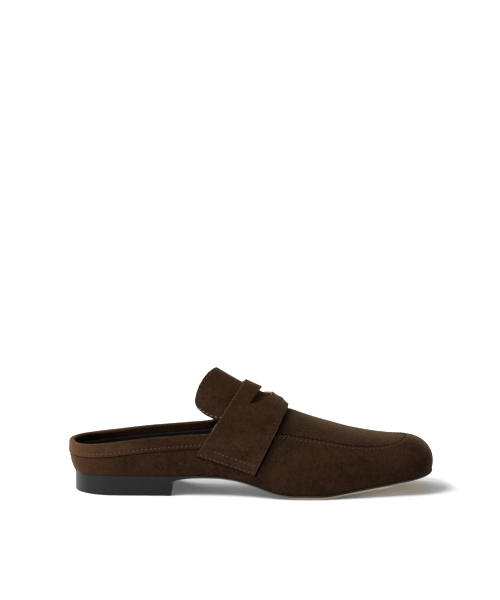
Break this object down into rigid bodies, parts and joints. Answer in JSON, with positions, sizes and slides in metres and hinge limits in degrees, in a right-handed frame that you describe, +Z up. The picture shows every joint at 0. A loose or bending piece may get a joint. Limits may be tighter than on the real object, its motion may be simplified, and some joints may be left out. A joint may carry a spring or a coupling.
{
  "type": "loafer mule",
  "caption": "Suede penny loafer mule with an open low back, a saddle strap over a free tongue, a moc apron toe and a low block heel. Right shoe.",
  "frame": {"origin": "on the floor under the middle of the shoe's bounding box", "axes": "+X towards the toe, +Y towards the inner side of the foot, +Z up"},
  "size_m": [0.2604, 0.09, 0.0874],
  "materials": {
    "suede": "brown suede, napped",
    "suede_band": "brown suede, napped",
    "suede_tongue": "brown suede, napped",
    "suede_strap": "brown suede, napped",
    "lining": "smooth black lining",
    "sole_edge": "black painted edge, satin",
    "tread": "pale tan, matte",
    "heel_block": "black, satin"
  },
  "bodies": {
    "root": {"upper": "suede", "collar_band": "suede_band", "tongue": "suede_tongue", "saddle_strap": "suede_strap", "insole": "lining", "outsole": "sole_edge", "half_sole": "tread", "heel": "heel_block"}
  },
  "joints": []
}
